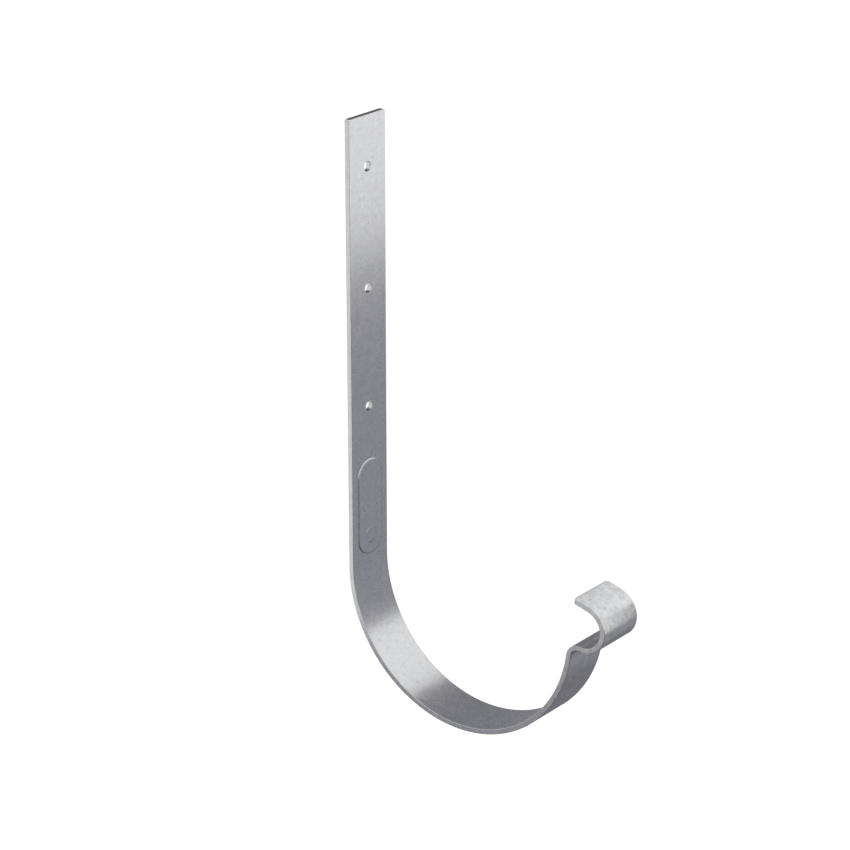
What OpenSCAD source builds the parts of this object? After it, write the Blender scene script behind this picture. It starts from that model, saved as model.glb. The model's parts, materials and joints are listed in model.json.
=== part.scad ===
// Half-round gutter bracket, bent from one flat strap.
// Frame: +Z up, X across the strap, the hook reaches towards -Y.
// Origin: centre of the middle fixing hole, on the strap's back face.

/* [Strap] */
// Width of the flat strap
strap_w = 30; // [24:1:40]
// Thickness of the flat strap
strap_t = 3; // [2:0.25:4]
// Rounding along the four long edges of the strap
edge_r = 0.4; // [0.2:0.05:0.8]
// Length of the straight shank above the start of the hook
shank_h = 258; // [240:1:320]

/* [Fixing holes] */
// Diameter of the three fixing holes
hole_d = 5.5; // [4:0.5:8]
// Distance from the top end to the first hole
hole_top = 28.6; // [16:0.2:36]
// Distance between neighbouring holes
hole_pitch = 68.6; // [50:0.2:76]

/* [Hook] */
// Inside diameter of the hook, which the half-round gutter lies in
hook_d = 148; // [120:1:180]
// Angle the hook turns through, from the shank to the step under the bead
hook_sweep = 173; // [160:1:176]

/* [Step under the bead] */
// Inside radius of the step bend, on the outer side of the strap
step_r = 5.2; // [4:0.2:8]
// Angle the step bend turns outwards
step_sweep = 90; // [80:1:95]

/* [Bead clip] */
// Inside diameter of the clip, which closes round the gutter's front bead
bead_d = 22; // [18:0.5:28]
// Angle the clip turns back through
bead_sweep = 170; // [150:1:180]
// Inside radius of the nearly flat lip at the end of the clip
lip_r = 150; // [80:5:300]
// Length of the lip
lip_len = 10.2; // [6:0.2:14]
// Rounding of the lip's two free corners, seen from above
lip_corner_r = 2; // [1:0.25:5]

/* [Pressed stiffener] */
// Width of the raised stiffener at its foot
rib_w = 20.8; // [14:0.2:22]
// Length of the raised stiffener at its foot
rib_len = 58; // [40:1:66]
// Height of its lower end above the start of the hook
rib_z = 3.5; // [1:0.5:10]
// Height it stands proud of the strap
rib_h = 0.5; // [0.3:0.1:1]
// Width of its sloping flank
rib_flank = 0.6; // [0.3:0.1:1.2]
// Margin by which the hollow pressed into the back is smaller all round
rib_back_inset = 1; // [0.5:0.25:2]

/* [Stop mark on the stiffener] */
// Diameter of the low round boss near the stiffener's lower end
boss_d = 9; // [5:0.5:10]
// Height of the boss centre above the start of the hook
boss_z = 15.2; // [14:0.2:40]
// Height the boss stands proud of the stiffener
boss_h = 0.25; // [0.1:0.05:0.5]

/* [Hidden] */
$fn = 128;

hook_r = hook_d / 2;
bead_r = bead_d / 2;
sink = strap_t / 3;  // how far raised shapes are rooted in the strap
hook_z = hole_top + hole_pitch - shank_h;  // height at which the hook starts

function along(a) = [cos(a), sin(a)];

// The bends follow each other in the side view: x outwards from the strap's front face, y up.
// Each centre lies on the line through the joint and the centre before it, so every joint is smooth.
hook_end = 180 + hook_sweep;
hook_c = [hook_r, 0];
step_start = hook_sweep - step_sweep;
step_c = hook_c + (hook_r + strap_t + step_r) * along(hook_end);
bead_start = step_start + 180;
bead_end = bead_start + bead_sweep;
bead_c = step_c + (step_r + strap_t + bead_r) * along(step_start);
lip_sweep = lip_len / lip_r * 180 / PI;
lip_c = bead_c + (bead_r - lip_r) * along(bead_end);
lip_end = bead_end + lip_sweep;
lip_tip = lip_c + lip_r * along(lip_end);

// Moves by whole millimetres, thousandths and the rest in turn, which keeps every digit of a joint.
module put(p) {
  whole = [floor(p.x), floor(p.y), 0];
  part = [floor((p.x - whole.x) * 1000) / 1000, floor((p.y - whole.y) * 1000) / 1000, 0];
  translate(whole) translate(part) translate([p.x, p.y, 0] - whole - part) children();
}

// Rounded section of the strap, its gutter side at x = r and its width along y.
module section(r) {
  difference() {
    translate([r, -strap_w / 2]) square([strap_t, strap_w]);
    for (side = [-1, 1], face = [0, 1])
      translate([r + strap_t * face, side * strap_w / 2])
        mirror([face, 0]) mirror([0, side > 0 ? 1 : 0]) edge_cut();
  }
}

// What the rounding takes off one corner of the section.
module edge_cut() {
  difference() {
    translate([-edge_r, -edge_r]) square(2 * edge_r);
    translate([edge_r, edge_r]) circle(edge_r);
  }
}

// One bend: the section, its near side at radius r, turned about its centre.
module bend(c, r, start, sweep) {
  put(c) rotate_extrude(angle = sweep, start = start) section(r);
}

// Straight shank, its front face at x = 0.
module shank() {
  rotate([-90, 0, 0]) linear_extrude(shank_h) section(-strap_t);
}

// Last stretch of the clip, trimmed square with two rounded corners.
module lip() {
  difference() {
    bend(lip_c, lip_r, bead_end, lip_sweep * 1.3);
    put(lip_tip) rotate([0, 0, lip_end]) rotate([0, 90, 0]) lip_trim();
  }
}

// Everything beyond the lip's end: a block less the rounded plan of the lip.
// The corner rounds reach a hair past the strap's sides, so they cut them cleanly.
module lip_trim() {
  reach = lip_len / 2;
  corner = strap_w / 2 - lip_corner_r + 0.01;
  translate([0, 0, -strap_t]) linear_extrude(3 * strap_t) difference() {
    translate([-strap_w, -lip_corner_r]) square([2 * strap_w, reach + lip_corner_r]);
    translate([-corner, -lip_corner_r]) square([2 * corner, lip_corner_r]);
    for (side = [-1, 1]) translate([side * corner, -lip_corner_r]) circle(lip_corner_r);
  }
}

// Bent strap in the side view.
module strap() {
  shank();
  bend(hook_c, hook_r, 180, hook_sweep);
  bend(step_c, step_r, step_start, step_sweep);
  bend(bead_c, bead_r, bead_start, bead_sweep);
  lip();
}

// Long pad with round ends and sloping flanks, rooted below z = 0, its length along y.
module pad(w, len, h, flank, root) {
  straight = len - w;
  flank_side = [[w / 2, -root], [w / 2, 0], [w / 2 - flank, h]];
  for (end = [0, 1])
    translate([0, (end - 0.5) * straight, 0])
      rotate_extrude(angle = 180, start = 180 - 180 * end)
        polygon(concat([[0, -root]], flank_side, [[0, h]]));
  rotate([90, 0, 0]) linear_extrude(straight, center = true)
    polygon(concat(flank_side, [[-w / 2 + flank, h], [-w / 2, 0], [-w / 2, -root]]));
}

// Stiffener on the front of the strap, with the low boss on it.
module stiffener() {
  translate([0, -strap_t, hook_z + rib_z + rib_len / 2]) rotate([90, 0, 0])
    pad(rib_w, rib_len, rib_h, rib_flank, sink);
  translate([0, -strap_t - rib_h, hook_z + boss_z]) rotate([90, 0, 0])
    rotate_extrude() polygon([[0, -sink], [boss_d / 2, -sink], [boss_d / 2, 0],
                              [boss_d / 2 - boss_h, boss_h], [0, boss_h]]);
}

// Hollow that the stiffener leaves in the back of the strap.
module back_hollow() {
  translate([0, 0, hook_z + rib_z + rib_len / 2]) rotate([90, 0, 0])
    pad(rib_w - 2 * rib_back_inset, rib_len - 2 * rib_back_inset, rib_h, rib_flank, sink);
}

// Row of fixing holes through the shank.
module fixing_holes() {
  for (step = [-1, 0, 1])
    translate([0, strap_t, step * hole_pitch]) rotate([90, 0, 0])
      cylinder(d = hole_d, h = 3 * strap_t);
}

module bracket() {
  color([0.62, 0.64, 0.66]) difference() {
    union() {
      translate([0, -strap_t, hook_z]) rotate([90, 0, -90]) strap();
      stiffener();
    }
    back_hollow();
    fixing_holes();
  }
}

bracket();
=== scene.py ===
"""Half-round gutter bracket bent from one galvanised strap: its surface, finish, studio and camera.

The frame gives the strap's width and thickness, its top, the fixing holes and the centre of the hook.
The strap is swept again here as one smooth skin, with rounded edges, punched holes and the pressed stiffener.
Lengths of the bracket are in millimetres until the mesh is filled, which turns them into metres.
Lengths of the studio are in metres."""

import json

import bmesh
import bpy
import numpy as np
from mathutils import Matrix, Vector

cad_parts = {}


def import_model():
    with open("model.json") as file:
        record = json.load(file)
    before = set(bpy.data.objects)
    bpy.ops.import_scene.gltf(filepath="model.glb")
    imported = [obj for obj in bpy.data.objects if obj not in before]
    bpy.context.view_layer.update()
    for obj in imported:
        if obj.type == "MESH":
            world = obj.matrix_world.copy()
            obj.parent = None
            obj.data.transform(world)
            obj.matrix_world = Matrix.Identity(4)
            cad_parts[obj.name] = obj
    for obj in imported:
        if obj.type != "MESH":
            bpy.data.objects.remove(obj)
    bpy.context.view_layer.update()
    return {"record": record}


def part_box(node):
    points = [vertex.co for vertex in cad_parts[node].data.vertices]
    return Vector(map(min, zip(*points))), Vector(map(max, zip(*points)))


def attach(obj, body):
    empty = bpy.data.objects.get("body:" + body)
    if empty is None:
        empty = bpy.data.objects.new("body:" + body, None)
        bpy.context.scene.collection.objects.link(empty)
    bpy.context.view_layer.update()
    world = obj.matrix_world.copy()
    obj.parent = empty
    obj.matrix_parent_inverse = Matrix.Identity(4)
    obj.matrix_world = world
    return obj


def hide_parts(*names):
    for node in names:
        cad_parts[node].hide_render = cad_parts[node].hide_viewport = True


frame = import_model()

MM = 0.001
MOUNTS = {m["name"]: m for m in frame["record"]["mounts"]}
LOW, HIGH = ([float(value) / MM for value in corner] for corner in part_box("bracket"))

# Strap, from the frame. The side view runs outwards from the strap's front face, and up
HALF_W = HIGH[0]
THICK = MOUNTS["middle_hole"]["dims"]["length_mm"]
TOP = HIGH[2]
HOLE_R = MOUNTS["fixing_holes"]["dims"]["hole_r_mm"]
HOLE_PITCH = MOUNTS["fixing_holes"]["dims"]["spacing_y_mm"] / 2
HOLE_Z = HOLE_PITCH * np.array([1, 0, -1])
CRADLE = np.array(MOUNTS["gutter_cradle"]["pos_m"]) / MM
HOOK_CENTRE = np.array([-CRADLE[1] - THICK, CRADLE[2]])
HOOK_R, HOOK_Z = HOOK_CENTRE.tolist()

# Bends after the hook, as radii of the gutter side and angles in degrees
HOOK_SWEEP = 173
STEP_R, STEP_SWEEP = 5.2 + THICK, 90
BEAD_R, BEAD_SWEEP = 11, 170
LIP_R, LIP_LENGTH, LIP_CORNER = 150, 10.2, 2

# Roundings
EDGE_R = 0.25
END_R = 0.18
RIM_R = 0.22
TOP_CORNER = 1.2

# Pressed stiffener, its back hollow and the boss on it, measured half way up their flanks
RIB_W, RIB_LENGTH, RIB_Z, RIB_H, RIB_FLANK = 20.2, 56.8, 3.8, 0.5, 1.0
HOLLOW_INSET = 1
BOSS_R, BOSS_Z, BOSS_H, BOSS_FLANK = 4.5, 15.2, 0.25, 1.1
RIB_MIDDLE = HOOK_Z + RIB_Z + RIB_LENGTH / 2

# Mesh: how finely each stretch is divided, and how far the rings that hold a flat lie from its edge
COLUMNS, WALL_ROWS, ARC_STEPS = 24, 4, 5
HOOK_STEPS, STEP_STEPS, BEAD_STEPS, LIP_STEPS = 140, 28, 64, 40
CORNER_TURNS = np.linspace(38, 90, 9)
FLANK_SHARES = np.linspace(-0.125, 1.125, 11)
RIB_ROWS, ABOVE_RIB, ABOVE_HOOK = 40, 3, 1
HOLD = 0.12
WELD = 0.002


# Surface helpers

def along(degrees):
    """Unit vector at an angle in the side view."""
    turn = np.radians(degrees)
    return np.stack([np.cos(turn), np.sin(turn)], axis=-1)


def ease(share):
    """Smooth step: three times the share squared less twice its cube."""
    return share * share * (3 - 2 * share)


def spread(low, high, inner, hold):
    """Stations from low to high: evenly spaced ones, and one more just inside each end."""
    return np.concatenate([[low], np.linspace(low + hold, high - hold, inner - 1), [high]])


def rounding(radius):
    """Quarter round as (inset, depth): radius times (1 - sin) and radius times (1 - cos) of its angle."""
    turn = np.linspace(0, np.pi / 2, ARC_STEPS)
    return radius * (1 - np.sin(turn)), radius * (1 - np.cos(turn))


def taken_off(radius, distance):
    """What a rounded corner takes off at a distance from its end.

    It is the radius less the root of its square less the square of what the distance falls short of it."""
    short = np.clip(radius - distance, 0, radius)
    return radius - np.sqrt(radius ** 2 - short ** 2)


class Skin:
    """Collects grids of points and welds them into one closed mesh."""

    def __init__(self):
        self.points, self.faces, self.caps, self.count = [], [], [], 0

    def grid(self, points):
        """Quads between neighbouring points of a grid, rows by columns."""
        rows, columns = points.shape[:2]
        number = self.count + np.arange(rows * columns).reshape(rows, columns)
        corners = [number[:-1, :-1], number[:-1, 1:], number[1:, 1:], number[1:, :-1]]
        self.faces.append(np.stack(corners, axis=-1).reshape(-1, 4))
        self._keep(points.reshape(-1, 3))

    def cap(self, loop):
        """One flat face inside a closed loop."""
        self.caps.append((self.count + np.arange(len(loop))).tolist())
        self._keep(loop)

    def _keep(self, points):
        self.points.append(points)
        self.count += len(points)

    def mesh(self, name):
        """Joins the grids, welds what they share and turns every face outwards."""
        made = bpy.data.meshes.new(name)
        points = np.concatenate(self.points) * MM
        made.from_pydata(points.tolist(), [], np.concatenate(self.faces).tolist() + self.caps)
        work = bmesh.new()
        work.from_mesh(made)
        bmesh.ops.remove_doubles(work, verts=work.verts, dist=WELD * MM)
        bmesh.ops.recalc_face_normals(work, faces=work.faces)
        work.to_mesh(made)
        work.free()
        made.shade_smooth()
        return made


# Side view of the strap

# Each centre lies on the line through the joint and the centre before it, so every joint is smooth
HOOK_END = 180 + HOOK_SWEEP
STEP_CENTRE = HOOK_CENTRE + (HOOK_R + STEP_R) * along(HOOK_END)
STEP_END = HOOK_SWEEP - STEP_SWEEP
BEAD_CENTRE = STEP_CENTRE + (STEP_R + BEAD_R) * along(STEP_END)
BEAD_START = STEP_END + 180
BEAD_END = BEAD_START + BEAD_SWEEP
LIP_CENTRE = BEAD_CENTRE + (BEAD_R - LIP_R) * along(BEAD_END)


def bend(centre, radius, start, sweep, steps, side=1):
    """Gutter side of one bend: its centre plus the radius along the turning angle, with the way to the back."""
    out = along(np.linspace(start, start + sweep, steps + 1))
    return centre + radius * out, side * out


def strap_path(rows):
    """The strap's gutter side and the way to its back: the shank's rows, then four bends in a smooth chain."""
    stretches = [
        (np.stack([np.zeros(len(rows)), rows], axis=-1), np.tile([-1.0, 0.0], (len(rows), 1))),
        bend(HOOK_CENTRE, HOOK_R, 180, HOOK_SWEEP, HOOK_STEPS),
        bend(STEP_CENTRE, STEP_R, HOOK_SWEEP, -STEP_SWEEP, STEP_STEPS, side=-1),
        bend(BEAD_CENTRE, BEAD_R, BEAD_START, BEAD_SWEEP, BEAD_STEPS),
        bend(LIP_CENTRE, LIP_R, BEAD_END, np.degrees(LIP_LENGTH / LIP_R), LIP_STEPS),
    ]
    return [np.concatenate([run[n > 0:] for n, run in enumerate(runs)]) for runs in zip(*stretches)]


def shank_rows():
    """Heights of the shank's rows from the rounded top end down, and the rows of each window in it."""
    flat_w = HALF_W - EDGE_R
    spans = [(z + flat_w, z - flat_w, COLUMNS) for z in HOLE_Z]
    spans.append((HOOK_Z + RIB_Z + RIB_LENGTH + ABOVE_RIB, HOOK_Z + ABOVE_HOOK, RIB_ROWS))
    runs = [
        TOP - END_R + END_R * np.sin(np.linspace(np.pi / 2, 0, ARC_STEPS)),
        TOP - TOP_CORNER + TOP_CORNER * along(CORNER_TURNS)[:, 0],
        [TOP - TOP_CORNER - HOLD],
    ]
    windows = []
    for upper, lower, steps in spans:
        start = sum(len(run) for run in runs)
        windows.append(slice(start, start + steps + 1))
        runs.append(np.linspace(upper, lower, steps + 1))
    return np.concatenate([*runs, [HOOK_Z]]), windows


def outline(points):
    """Half width and inset of the section along the path, which the corners and the ends' roundings draw in."""
    steps = np.linalg.norm(np.diff(points[::-1], axis=0), axis=1)
    from_tip = np.append(np.cumsum(steps)[::-1], 0)
    from_top = TOP - points[:, 1]
    half_w = HALF_W - taken_off(LIP_CORNER, from_tip) - taken_off(TOP_CORNER, from_top)
    return half_w, taken_off(END_R, from_tip) + taken_off(END_R, from_top)


def section(half_w, inset):
    """The strap's section in four runs of (across, depth): front, right, back and left.

    It is a rectangle with quarter rounds at its corners, drawn in by the inset all round."""
    flat_w, flat_d = half_w - EDGE_R, THICK / 2 - EDGE_R
    round_r = EDGE_R - inset
    across = spread(-flat_w, flat_w, COLUMNS, HOLD)
    front = np.stack([across, np.full(len(across), -THICK / 2 + inset)], axis=-1)
    wall = spread(-flat_d, flat_d, WALL_ROWS, HOLD)[1:-1]
    lower = along(np.linspace(-90, 0, ARC_STEPS)) * round_r + [flat_w, -flat_d]
    upper = along(np.linspace(0, 90, ARC_STEPS)) * round_r + [flat_w, flat_d]
    side = np.stack([np.full(len(wall), half_w - inset), wall], axis=-1)
    right = np.concatenate([lower, side, upper])
    return [run + [0, THICK / 2] for run in (front, right, front[::-1] * [1, -1], right[::-1] * [-1, 1])]


def place(points, backs, runs):
    """Carries a section along the side view: across stays across, and depth goes along the way to the back."""
    across, depth = runs[..., 0], runs[..., 1]
    side = points[:, None] + depth[..., None] * backs[:, None]
    return np.stack([across, -THICK - side[..., 0], side[..., 1]], axis=-1)


# Windows: patches of the flat faces, in which a hole or a pressing is drawn

def window_line(rows, across):
    """Closed line round a window: along its top, down its right side, back along its foot and up its left."""
    top = np.stack([across, np.full(len(across), rows[0])], axis=-1)
    right = np.stack([np.full(len(rows), across[-1]), rows], axis=-1)
    foot = np.stack([across[::-1], np.full(len(across), rows[-1])], axis=-1)
    left = np.stack([np.full(len(rows), across[0]), rows[::-1]], axis=-1)
    return np.concatenate([top, right[1:], foot[1:], left[1:]])


def oval(line, centre_z, straight, radius):
    """Ring at one distance from an upright spine, each point towards a point of the given line.

    The nearest spine point plus the radius along the unit vector from it; with no spine it is a circle."""
    height = centre_z + np.clip(line[:, 1] - centre_z, -straight / 2, straight / 2)
    spine = np.stack([np.zeros(len(line)), height], axis=-1)
    away = line - spine
    return spine + radius * away / np.linalg.norm(away, axis=1, keepdims=True)


def at_depth(ring, depth):
    """Ring of the front view put at a depth behind the shank's front face."""
    return np.stack([ring[:, 0], np.full(len(ring), depth - THICK), ring[:, 1]], axis=-1)


def punched_hole(skin, line, centre_z):
    """One hole from front to back: shrinking rings round its front rim, the wall, and the same behind."""
    wider, depth = rounding(RIM_R)
    radii = np.concatenate([[HOLE_R + RIM_R + HOLD], HOLE_R + wider, [HOLE_R]])
    depths = np.concatenate([[0], depth, [RIM_R + HOLD]])
    radii, depths = np.append(radii, radii[::-1]), np.append(depths, THICK - depths[::-1])
    rings = [at_depth(oval(line, centre_z, 0, r), d) for r, d in zip(radii, depths)]
    skin.grid(np.stack([at_depth(line, 0), *rings, at_depth(line, THICK)]))


def pressed_rings(line, centre_z, straight, radius, flank, base, rise):
    """Rings across a pressed flank: the radius falls by the flank while the depth eases from base by the rise.

    The first and last ring lie just off the flank and keep both flats flat."""
    return [
        at_depth(
            oval(line, centre_z, straight, radius + flank * (0.5 - share)),
            base + rise * ease(np.clip(share, 0, 1)))
        for share in FLANK_SHARES
    ]


def stiffener(skin, line):
    """Long raised pad with round ends on the front, and the low round boss near its foot."""
    pad = pressed_rings(line, RIB_MIDDLE, RIB_LENGTH - RIB_W, RIB_W / 2, RIB_FLANK, 0, -RIB_H)
    rim = pad[-1][:, [0, 2]]
    boss = pressed_rings(rim, HOOK_Z + BOSS_Z, 0, BOSS_R, BOSS_FLANK, -RIB_H, -BOSS_H)
    middle = at_depth(oval(rim, HOOK_Z + BOSS_Z, 0, 0), -RIB_H - BOSS_H)
    skin.grid(np.stack([at_depth(line, 0), *pad, *boss, middle]))


def back_hollow(skin, line):
    """What the stiffener leaves in the back: the same pad, smaller all round and sunk."""
    width, length = RIB_W - 2 * HOLLOW_INSET, RIB_LENGTH - 2 * HOLLOW_INSET
    pad = pressed_rings(line, RIB_MIDDLE, length - width, width / 2, RIB_FLANK, THICK, -RIB_H)
    middle = at_depth(oval(line, RIB_MIDDLE, length - width, 0), THICK - RIB_H)
    skin.grid(np.stack([at_depth(line, THICK), *pad, middle]))


# Strap

def strap():
    """Sweeps the section down the shank and round the bends, with windows for the holes and the stiffener."""
    rows, windows = shank_rows()
    points, backs = strap_path(rows)
    half_w, inset = outline(points)
    sections = [section(w, i) for w, i in zip(half_w, inset)]
    front, right, back, left = (place(points, backs, np.stack(runs)) for runs in zip(*sections))

    skin = Skin()
    skin.grid(right)
    skin.grid(left)
    first = 0
    for window in windows:
        for face in (front, back):
            skin.grid(face[first:window.start + 1])
            skin.grid(face[window, :2])
            skin.grid(face[window, -2:])
        first = window.stop - 1
    skin.grid(front[first:])
    skin.grid(back[first:])

    flat_w = HALF_W - EDGE_R
    across = spread(-flat_w, flat_w, COLUMNS, HOLD)[1:-1]
    *hole_lines, rib_line = [window_line(rows[window], across) for window in windows]
    for z, line in zip(HOLE_Z, hole_lines):
        punched_hole(skin, line, z)
    stiffener(skin, rib_line)
    back_hollow(skin, rib_line)

    # Flat cuts at both ends, each inside a holding ring
    for end in (0, -1):
        loops = [np.concatenate(section(half_w[end], inset[end] + extra)) for extra in (0, HOLD)]
        rings = [place(points[[end]], backs[[end]], loop[None])[0] for loop in loops]
        skin.grid(np.stack([np.append(ring, ring[:1], axis=0) for ring in rings]))
        skin.cap(rings[1])

    piece = bpy.data.objects.new("gutter_bracket", skin.mesh("gutter_bracket"))
    bpy.context.scene.collection.objects.link(piece)
    return piece


# Shader maths

class Wire:
    """One shader value. Arithmetic on it adds Math nodes."""

    def __init__(self, shader, socket):
        self.shader, self.socket = shader, socket

    def _math(self, operation, first, second):
        return self.shader.add("ShaderNodeMath", {"operation": operation}, {0: first, 1: second})["Value"]

    def __add__(self, other): return self._math("ADD", self, other)
    def __radd__(self, other): return self._math("ADD", other, self)
    def __sub__(self, other): return self._math("SUBTRACT", self, other)
    def __rsub__(self, other): return self._math("SUBTRACT", other, self)
    def __mul__(self, other): return self._math("MULTIPLY", self, other)
    def __rmul__(self, other): return self._math("MULTIPLY", other, self)
    def __pow__(self, other): return self._math("POWER", self, other)
    def __abs__(self): return self._math("ABSOLUTE", self, 0)


class Node:
    """An added node, whose outputs are read by name or number."""

    def __init__(self, shader, node):
        self.shader, self.node = shader, node

    def __getitem__(self, output):
        return Wire(self.shader, self.node.outputs[output])


class Shader:
    """A node tree that nodes are added to."""

    def __init__(self, owner):
        owner.use_nodes = True
        self.tree = owner.node_tree
        self.tree.nodes.clear()

    def add(self, kind, settings=None, inputs=None):
        """Adds a node of a type, with its settings first and then the values or links of its sockets."""
        node = self.tree.nodes.new(kind)
        for name, value in (settings or {}).items():
            setattr(node, name, value)
        for name, value in (inputs or {}).items():
            if isinstance(value, Wire):
                self.tree.links.new(value.socket, node.inputs[name])
            else:
                node.inputs[name].default_value = value
        return Node(self, node)

    def larger(self, first, second):
        """The larger of two values."""
        return self.add("ShaderNodeMath", {"operation": "MAXIMUM"}, {0: first, 1: second})["Value"]

    def step_up(self, value, low, high):
        """Smooth step from zero at the low value to one at the high value."""
        return self.add("ShaderNodeMapRange", {"interpolation_type": "SMOOTHSTEP"}, {
            "Value": value, "From Min": low, "From Max": high})["Result"]

    def rise(self, value, low, high):
        """Smooth step from zero to one between two places given in millimetres."""
        return self.step_up(value, float(low) * MM, float(high) * MM)

    def fall(self, value, low, high):
        """Smooth step from one to zero between two places given in millimetres."""
        return 1 - self.rise(value, low, high)


# Finish

# The tone runs from black to the zinc's own colour. These are the colour sockets of a Mix node
BLACK, ZINC = (0.0, 0.0, 0.0, 1), (0.973, 0.978, 0.992, 1)
MIX_FIRST, MIX_SECOND, MIX_RESULT = 6, 7, 2

# Tone and roughness of the plain strap, and how much darker each place is. The darker places are painted shade.
# At the slit edges, the cut end and the hole walls they are partly the cut steel's own duller tone and partly
# painted shade
TONE, ROUGHNESS = 0.722, 0.25
SLIT_DARKER, LOW_SLIT_SHADE, RIM_SHADE, CUT_DARKER = 0.06, 0.055, 0.27, 0.46
BORE_DARKER, BORE_FOOT_SHADE = 0.10, 0.42
FLANK_SHADE, FLANK_LOW_SHADE = 0.16, 0.3
FOLD_SHADE, FOLD_TOP_SHADE = 0.08, 0.42
LIP_SHADE, TROUGH_SHADE = 0.07, 0.16

# Bands in which the painted shade and the cut edges' duller tone come or go, in millimetres.
# From the side, the top end and the front face of the strap:
SLIT_BAND, RIM_OUTER_BAND, RIM_INNER_BAND = (0.06, 0.22), (0.02, 0.08), (0.2, 0.32)
CUT_BAND = (0.03, 0.15)
FRONT_BAND, PAST_FRONT_BAND = (-0.4, -0.1), (2, 3)
# Outside the wall of a hole, and down from its axis:
BORE_BAND, BORE_FOOT_BAND = (0.06, 0.2), (1.4, 2.5)
# Either way from the stiffener's flank, left of its middle with a lean, and below its spine:
FLANK_BAND, LEFT_BAND, LEFT_LEAN, BELOW_SPINE_BAND = (0.35, 0.65), (-2, 4), 0.2, (1, 5)
# Past the inner face of the step bend or the bead clip, and above its centre:
FOLD_BAND, FOLD_TOP_BAND = (0.1, 0.7), (1.5, 3.5)
TROUGH_BAND, TROUGH_TOP_BAND, LOW_SLIT_BAND = (0.3, 1.6), (-8, 0), (-4, 6)
# Outwards, where the clip's finish and the painted shade on its slit edges take over from the shank's, and in Y
# and Z, where the painted shade on the lip starts:
CLIP_BAND = (115, 150)
LIP_Y_BAND, LIP_Z_BAND = (-171, -163), (-146, -139)


def noise(shader, where, scale, detail, roughness):
    """Soft random pattern around a half."""
    return shader.add("ShaderNodeTexNoise", inputs={
        "Vector": where, "Scale": scale, "Detail": detail, "Roughness": roughness})["Fac"]


def hole_wall_tone_and_painted_shade(shader, axes):
    """How much darker the sheared wall of each fixing hole is: partly the cut wall's duller tone, and painted
    shade that is most at its foot.

    The distance from the hole's axis is the root of x squared plus the height squared."""
    total = 0
    for hole_z in HOLE_Z:
        height = axes["Z"] - float(hole_z) * MM
        away = (axes["X"] * axes["X"] + height * height) ** 0.5
        wall = shader.fall(away - HOLE_R * MM, *BORE_BAND)
        # Painted shade, most at the foot of each hole wall
        foot = shader.rise(height * -1, *BORE_FOOT_BAND)
        total = total + wall * (BORE_DARKER + foot * BORE_FOOT_SHADE)
    return total


def painted_flank_shade(shader, axes):
    """Painted shade on the stiffener's left flank and upper round, most at its lower left, in front only.

    The flank is where the distance from the stiffener's upright spine differs little from its half width."""
    half_spine = (RIB_LENGTH - RIB_W) / 2 * MM
    height = axes["Z"] - RIB_MIDDLE * MM
    beyond = shader.larger(abs(height) - half_spine, 0)
    away = (axes["X"] * axes["X"] + beyond * beyond) ** 0.5 - RIB_W / 2 * MM
    left = shader.rise(height * LEFT_LEAN - axes["X"], *LEFT_BAND)
    low = shader.rise(height * -1 - half_spine, *BELOW_SPINE_BAND)
    flank = left * (FLANK_SHADE + low * FLANK_LOW_SHADE) * shader.fall(abs(away), *FLANK_BAND)
    from_front = axes["Y"] * -1 - THICK * MM
    return flank * shader.rise(from_front, *FRONT_BAND) * shader.fall(from_front, *PAST_FRONT_BAND)


def inside_bend(shader, axes, centre, radius, band):
    """Mask for painted shade: one at the inner face of a bend, and the height above the bend's centre.

    The distance from the bend's axis is the root of the two offsets squared."""
    outwards, above = axes["Y"] + float(THICK + centre[0]) * MM, axes["Z"] - float(centre[1]) * MM
    away = (outwards * outwards + above * above) ** 0.5
    return shader.fall(away - radius * MM, *band), above


def edge_tone_and_painted_shade(shader, axes, clip):
    """How much darker the strap is: painted shade on the edge rounding, the stiffener, the inner faces of the
    tight bends and the lip, and at the slit edges, cut end and hole walls partly their duller cut steel and
    partly painted shade.
    """
    from_side = HALF_W * MM - abs(axes["X"])
    from_top = TOP * MM - axes["Z"]
    # Painted shade at the inner faces of the step bend and the bead clip
    fold, above_step = inside_bend(shader, axes, STEP_CENTRE, STEP_R - THICK, FOLD_BAND)
    trough, above_bead = inside_bend(shader, axes, BEAD_CENTRE, BEAD_R, TROUGH_BAND)
    # Slit edges: partly the cut steel's duller tone, partly painted shade
    slit = shader.fall(from_side, *SLIT_BAND)
    # Painted shade on the clip's slit edges below the bead's centre
    low_slit = slit * clip * shader.fall(above_bead, *LOW_SLIT_BAND)
    # Painted shade on the edge rounding
    rim = shader.rise(from_side, *RIM_OUTER_BAND) * shader.fall(from_side, *RIM_INNER_BAND)
    # Cut top end: partly the cut steel's duller tone, partly painted shade
    cut = shader.fall(from_top, *CUT_BAND)
    # Painted shade on the lip
    lip = clip * shader.rise(axes["Y"], *LIP_Y_BAND) * shader.rise(axes["Z"], *LIP_Z_BAND) * (1 - slit)
    trough = trough * shader.fall(above_bead, *TROUGH_TOP_BAND) * (1 - slit)
    fold_top = shader.rise(above_step, *FOLD_TOP_BAND)
    return (
        slit * SLIT_DARKER + low_slit * LOW_SLIT_SHADE + rim * RIM_SHADE + cut * CUT_DARKER
        + lip * LIP_SHADE + trough * TROUGH_SHADE + fold * (FOLD_SHADE + fold_top * FOLD_TOP_SHADE)
        + hole_wall_tone_and_painted_shade(shader, axes) + painted_flank_shade(shader, axes))


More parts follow.
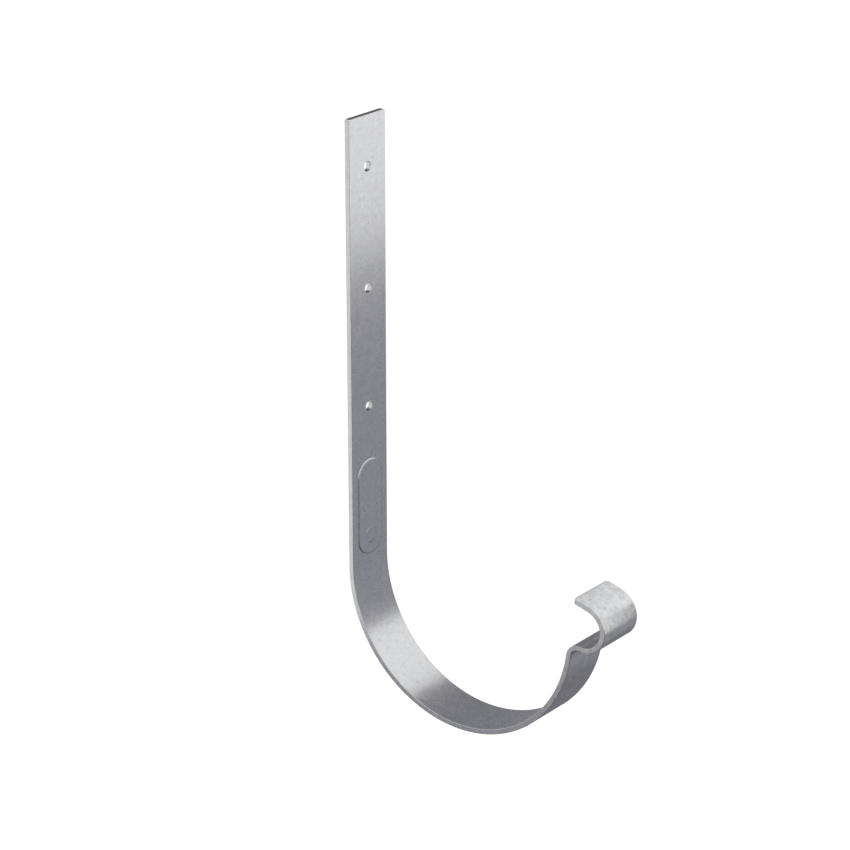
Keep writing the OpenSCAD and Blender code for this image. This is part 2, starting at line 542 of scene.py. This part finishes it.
def galvanised_steel():
    """Zinc-coated rolled strap: cloudy tone, small light and dark specks, a fine grain, and painted shade at its
    edges, holes, stiffener, bends and lip.
    """
    material = bpy.data.materials.new("galvanised_steel")
    shader = Shader(material)
    where = shader.add("ShaderNodeTexCoord")["Object"]
    axes = shader.add("ShaderNodeSeparateXYZ", inputs={"Vector": where})
    spangle = shader.add("ShaderNodeTexVoronoi", {"feature": "F1"}, {
        "Vector": where, "Scale": 420, "Randomness": 1})
    crystal = shader.add("ShaderNodeSeparateColor", inputs={"Color": spangle["Color"]})["Red"]
    cloud = noise(shader, where, 130, 3, 0.55)
    speck = noise(shader, where, 360, 3, 0.6)
    grain = noise(shader, where, 1500, 2, 0.5)
    pale, dull = shader.step_up(speck, 0.54, 0.70), shader.step_up(1 - speck, 0.54, 0.70)
    clip = shader.rise(axes["Y"] * -1, *CLIP_BAND)

    mottle = (crystal - 0.5) * 0.05 + (cloud - 0.5) * 0.12 + (grain - 0.5) * 0.03 + pale * 0.07 - dull * 0.08
    # The tone less the painted shade and the cut edges' duller tone
    tone = TONE + mottle * (0.64 + clip * 0.9) - edge_tone_and_painted_shade(shader, axes, clip)
    colour = shader.add("ShaderNodeMix", {"data_type": "RGBA"}, {
        "Factor": tone, MIX_FIRST: BLACK, MIX_SECOND: ZINC})
    rough = ROUGHNESS + (crystal - 0.5) * 0.03 + (cloud - 0.5) * 0.06 - pale * 0.02 + dull * 0.04 + clip * 0.05
    bump = shader.add("ShaderNodeBump", inputs={
        "Strength": 0.06, "Distance": 0.0002, "Height": cloud * 0.75 + grain * 0.25})
    steel = shader.add("ShaderNodeBsdfPrincipled", inputs={
        "Base Color": colour[MIX_RESULT], "Metallic": 1.0, "Roughness": rough, "Normal": bump["Normal"]})
    shader.add("ShaderNodeOutputMaterial", inputs={"Surface": steel["BSDF"]})
    return material


# Studio, in metres

WHITE = (1, 1, 1, 1)
DAYLIGHT = 0.75
FLOOR_DROP, FLOOR_REACH, FLOOR_TONE = 0.3, 12, 0.8
SEEN_GLOW, MIRRORED_GLOW = 0.40, 0.24
PANEL_TINT = (0.98, 0.98, 1.09)
LAMP_SIDE, LAMP_PLACE, LAMP_AIM = 3.0, Vector((1.8, -2.2, 2.4)), Vector((0, 0, -0.1))

# Lens and sensor width in millimetres, and the camera's place and axes
LENS, SENSOR = 119.836, 36
CAMERA_PLACE = Vector((-1.115637, -0.938678, 0.495972))
CAMERA_RIGHT = (0.626268, -0.779608, 0.000025)
CAMERA_UP = (0.286790, 0.230413, 0.929872)
CAMERA_BACK = (-0.724941, -0.582342, 0.367884)


def rays(shader):
    """One for rays from the camera, and one for rays that a surface mirrors or lets through."""
    ray = shader.add("ShaderNodeLightPath")
    return ray["Is Camera Ray"], shader.larger(ray["Is Glossy Ray"], ray["Is Transmission Ray"])


def world():
    """White all round for the camera and in the metal, and a plain even level as light."""
    made = bpy.data.worlds.new("studio")
    bpy.context.scene.world = made
    shader = Shader(made)
    seen, mirrored = rays(shader)
    level = DAYLIGHT + (1 - DAYLIGHT) * (seen + mirrored)
    light = shader.add("ShaderNodeBackground", inputs={"Color": WHITE, "Strength": level})
    shader.add("ShaderNodeOutputWorld", inputs={"Surface": light["Background"]})


def board(name, corners, material):
    """Flat board with straight sides that belongs to the studio."""
    mesh = bpy.data.meshes.new(name)
    mesh.from_pydata([list(map(float, c)) for c in corners], [], [range(len(corners))])
    mesh.materials.append(material)
    made = bpy.data.objects.new(name, mesh)
    bpy.context.scene.collection.objects.link(made)
    return made


def floor(height):
    """Plain pale floor, white to the camera and in the metal, that still takes the bracket's shadow."""
    material = bpy.data.materials.new("floor")
    shader = Shader(material)
    matt = shader.add("ShaderNodeBsdfDiffuse", inputs={"Color": (FLOOR_TONE, FLOOR_TONE, FLOOR_TONE, 1)})
    seen, mirrored = rays(shader)
    glow = shader.add("ShaderNodeEmission", inputs={
        "Color": WHITE, "Strength": seen * SEEN_GLOW + mirrored * MIRRORED_GLOW})
    both = shader.add("ShaderNodeAddShader", inputs={0: matt["BSDF"], 1: glow["Emission"]})
    shader.add("ShaderNodeOutputMaterial", inputs={"Surface": both["Shader"]})
    corners = FLOOR_REACH * np.array([(-1, -1, 0), (1, -1, 0), (1, 1, 0), (-1, 1, 0)])
    board("floor", corners + [0, 0, height], material)


def grey_panel(name, grey, corners):
    """One matt grey panel that only the metal reflects: it neither shows to the camera nor shades anything."""
    material = bpy.data.materials.new(name)
    shader = Shader(material)
    colour = (*(grey * part for part in PANEL_TINT), 1)
    matt = shader.add("ShaderNodeBsdfDiffuse", inputs={"Color": colour})["BSDF"]
    shader.add("ShaderNodeOutputMaterial", inputs={"Surface": matt})
    panel = board(name, corners, material)
    panel.visible_camera = panel.visible_diffuse = panel.visible_transmission = panel.visible_shadow = False


def grey_panels(height):
    """The panels that give the bright steel its dark parts: in front, two on the right, behind and below."""
    foot = height + 0.002
    front, right, low_right, behind = -0.249, 0.232, 0.231, 0.105
    grey_panel("front_panel", 0.46, [
        (x, front, z) for x, z in ((0.088, foot), (1.8, foot), (1.8, -0.103), (0.088, -0.103))])
    grey_panel("side_panel", 0.35, [
        (right, y, z) for y, z in (
            (-0.36, foot), (1.5, foot), (1.5, 0.55), (0.17, 0.55),
            (-0.05, 0.07), (-0.041, -0.01), (-0.19, -0.35))])
    grey_panel("low_side_panel", 0.28, [
        (low_right, y, z) for y, z in ((-0.36, foot), (0.3, foot), (0.3, -0.34), (-0.2, -0.34))])
    grey_panel("back_panel", 0.45, [
        (x, behind, z) for x, z in ((-0.045, foot), (-0.379, foot), (-0.379, -0.36), (-0.045, -0.245))])
    grey_panel("under_panel", 0.23, [
        (x, y, foot) for x, y in ((-0.765, -4), (0.75, -4), (0.75, 0.278), (-0.765, 0.278))])


def key_light():
    """One large soft lamp above the front right. The metal shows the plain white there instead of the lamp."""
    data = bpy.data.lights.new("key_light", "AREA")
    data.shape, data.size, data.energy = "SQUARE", LAMP_SIDE, np.pi * LAMP_SIDE ** 2
    made = bpy.data.objects.new("key_light", data)
    turn = (LAMP_AIM - LAMP_PLACE).to_track_quat("-Z", "Y").to_matrix()
    made.matrix_world = Matrix.Translation(LAMP_PLACE) @ turn.to_4x4()
    made.visible_camera = made.visible_glossy = False
    bpy.context.scene.collection.objects.link(made)


def camera():
    """Long lens from the strap's left, above the hook."""
    data = bpy.data.cameras.new("camera")
    data.lens, data.sensor_width = LENS, SENSOR
    made = bpy.data.objects.new("camera", data)
    turn = Matrix((CAMERA_RIGHT, CAMERA_UP, CAMERA_BACK)).transposed()
    made.matrix_world = Matrix.Translation(CAMERA_PLACE) @ turn.to_4x4()
    bpy.context.scene.collection.objects.link(made)
    bpy.context.scene.camera = made


bpy.context.scene.view_settings.view_transform = "Standard"
bracket = strap()
bracket.data.materials.append(galvanised_steel())
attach(bracket, "root")
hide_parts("bracket")
world()
floor(LOW[2] * MM - FLOOR_DROP)
grey_panels(LOW[2] * MM - FLOOR_DROP)
key_light()
camera()
